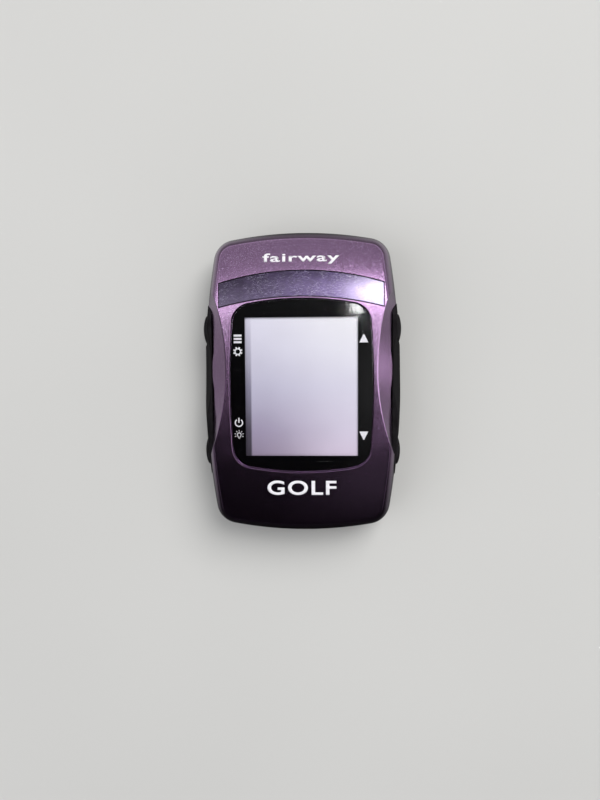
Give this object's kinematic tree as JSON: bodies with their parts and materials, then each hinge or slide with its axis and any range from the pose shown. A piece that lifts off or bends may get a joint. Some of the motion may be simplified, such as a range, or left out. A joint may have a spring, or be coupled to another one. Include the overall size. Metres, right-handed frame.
{
  "type": "handheld golf gps",
  "caption": "Pocket golf satellite rangefinder with a barrel-shaped case, colour screen under a black-edged lens, side push buttons in scooped grips and a hinged port cover.",
  "frame": {"origin": "centre of the flat back face, which is the lowest plane of the device lying on its back", "axes": "+Z out of the screen, +Y towards the top end (the end with the glossy strip), +X to the right as the screen is read"},
  "size_m": [0.06, 0.091, 0.0192],
  "materials": {
    "cover_paint": "metallic satin paint",
    "brow_gloss": "high gloss, finely scratched",
    "lens_acrylic": "clear, polished",
    "lens_print": "screen-printed black",
    "adhesive_tape": "matt",
    "foam": "matt",
    "lcd_glass": "satin reflective screen",
    "light_guide": "milky",
    "steel_sheet": "satin",
    "flex_film": "satin",
    "connector_body": "matt",
    "board_laminate": "satin solder mask",
    "chip_resin": "matt",
    "component_body": "matt",
    "antenna_ceramic": "fired ceramic, matt",
    "silver_patch": "satin silver",
    "brass_plain": "machined",
    "soft_black": "matt",
    "steel_pin": "drawn",
    "rail_plastic": "fine texture",
    "button_plastic": "satin",
    "switch_shell": "satin",
    "battery_foil": "foil pouch",
    "lead_sleeve": "satin",
    "rear_plastic": "fine moulded texture",
    "label_film": "satin film",
    "screw_steel": "blackened"
  },
  "bodies": {
    "case": {"front_cover": "cover_paint", "brow_inlay": "brow_gloss", "lens": "lens_acrylic", "lens_mask": "lens_print", "lens_tape": "adhesive_tape", "lcd_gasket": "foam", "lcd_panel": "lcd_glass", "lcd_backlight": "light_guide", "lcd_frame": "steel_sheet", "lcd_flex": "flex_film", "lcd_connector": "connector_body", "lcd_support_pads": "foam", "main_board": "board_laminate", "processor": "chip_resin", "memory_chip": "chip_resin", "gps_shield": "steel_sheet", "clock_crystal": "steel_sheet", "board_components": "component_body", "gps_antenna": "antenna_ceramic", "antenna_patch": "silver_patch", "antenna_tape": "adhesive_tape", "antenna_pin": "brass_plain", "usb_connector": "steel_sheet", "usb_tongue": "chip_resin", "usb_cover_pin": "steel_pin", "left_rail": "rail_plastic", "right_rail": "rail_plastic", "button_seals": "foam", "side_switches": "switch_shell", "battery_cell": "battery_foil", "battery_board": "component_body", "battery_leads": "lead_sleeve", "battery_plug": "connector_body", "battery_socket": "connector_body", "battery_pad": "foam", "perimeter_seal": "foam", "rear_cover": "rear_plastic", "rear_label": "label_film", "case_screws": "screw_steel", "case_inserts": "brass_plain", "board_screws": "screw_steel", "clip_insert": "brass_plain"},
    "menu_button": {"menu_button": "button_plastic"},
    "power_button": {"power_button": "button_plastic"},
    "up_button": {"up_button": "button_plastic"},
    "down_button": {"down_button": "button_plastic"},
    "menu_plunger": {"menu_plunger": "chip_resin"},
    "power_plunger": {"power_plunger": "chip_resin"},
    "up_plunger": {"up_plunger": "chip_resin"},
    "down_plunger": {"down_plunger": "chip_resin"},
    "usb_cover": {"usb_cover": "soft_black"}
  },
  "joints": [
    {"name": "menu_press", "type": "slide", "parent": "case", "child": "menu_button", "axis": [1, 0, 0], "range_m": [0, 0.00035], "stiffness_N_per_m": 900, "springref_m": -0.0004},
    {"name": "menu_switch", "type": "slide", "parent": "case", "child": "menu_plunger", "axis": [1, 0, 0], "range_m": [0, 0.00035]},
    {"name": "power_press", "type": "slide", "parent": "case", "child": "power_button", "axis": [1, 0, 0], "range_m": [0, 0.00035], "stiffness_N_per_m": 900, "springref_m": -0.0004},
    {"name": "power_switch", "type": "slide", "parent": "case", "child": "power_plunger", "axis": [1, 0, 0], "range_m": [0, 0.00035]},
    {"name": "up_press", "type": "slide", "parent": "case", "child": "up_button", "axis": [-1, 0, 0], "range_m": [0, 0.00035], "stiffness_N_per_m": 900, "springref_m": -0.0004},
    {"name": "up_switch", "type": "slide", "parent": "case", "child": "up_plunger", "axis": [-1, 0, 0], "range_m": [0, 0.00035]},
    {"name": "down_press", "type": "slide", "parent": "case", "child": "down_button", "axis": [-1, 0, 0], "range_m": [0, 0.00035], "stiffness_N_per_m": 900, "springref_m": -0.0004},
    {"name": "down_switch", "type": "slide", "parent": "case", "child": "down_plunger", "axis": [-1, 0, 0], "range_m": [0, 0.00035]},
    {"name": "usb_cover_hinge", "type": "hinge", "parent": "case", "child": "usb_cover", "pos_m": [-0.0082, -0.04415, 0.007], "axis": [0, 0, -1], "range_deg": [0, 100]}
  ],
  "couplings": [
    {"joint": "menu_switch", "follows": "menu_press", "ratio": 1},
    {"joint": "power_switch", "follows": "power_press", "ratio": 1},
    {"joint": "up_switch", "follows": "up_press", "ratio": 1},
    {"joint": "down_switch", "follows": "down_press", "ratio": 1}
  ]
}
